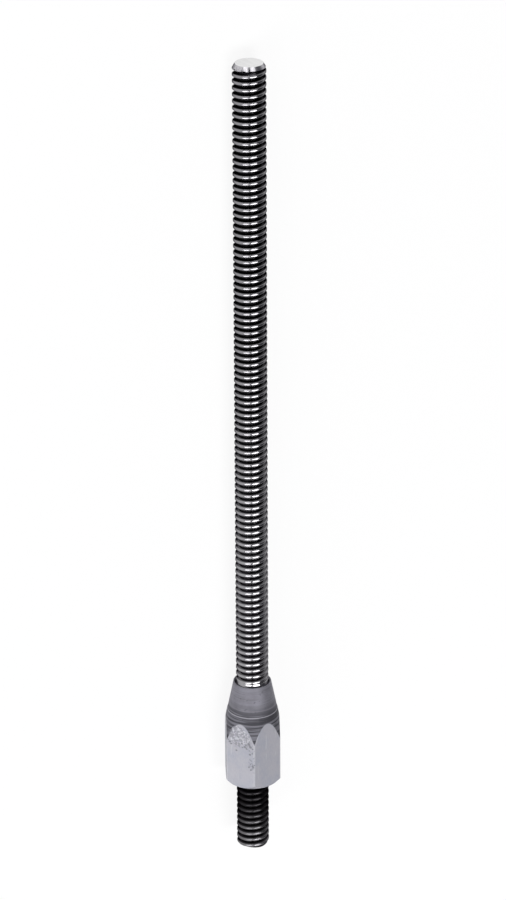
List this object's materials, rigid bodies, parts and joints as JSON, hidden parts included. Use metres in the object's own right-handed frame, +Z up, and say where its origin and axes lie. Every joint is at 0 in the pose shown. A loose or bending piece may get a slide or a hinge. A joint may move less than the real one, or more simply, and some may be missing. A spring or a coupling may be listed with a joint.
{
  "type": "air cleaner stud",
  "caption": "Long threaded stud with a cone-nosed hex collar near its lower end, which screws into a carburettor and holds an air cleaner down.",
  "frame": {"origin": "centre of the collar's lower face, the seat, on the stud's axis", "axes": "+X along the stud towards the tip of its long thread, +Z up; the stud lies on one flat of its collar and on the tip of its long thread, so its axis dips 0.9 degrees towards the tip"},
  "size_m": [0.16, 0.012, 0.0106],
  "materials": {
    "dark_steel": "rolled thread, dark and shiny, with bare bright crests",
    "satin_steel": "satin grey, turned on the cone, plain on the flats, lightly scuffed"
  },
  "bodies": {
    "root": {"threaded_rod": "dark_steel", "hex_collar": "satin_steel"}
  },
  "joints": []
}
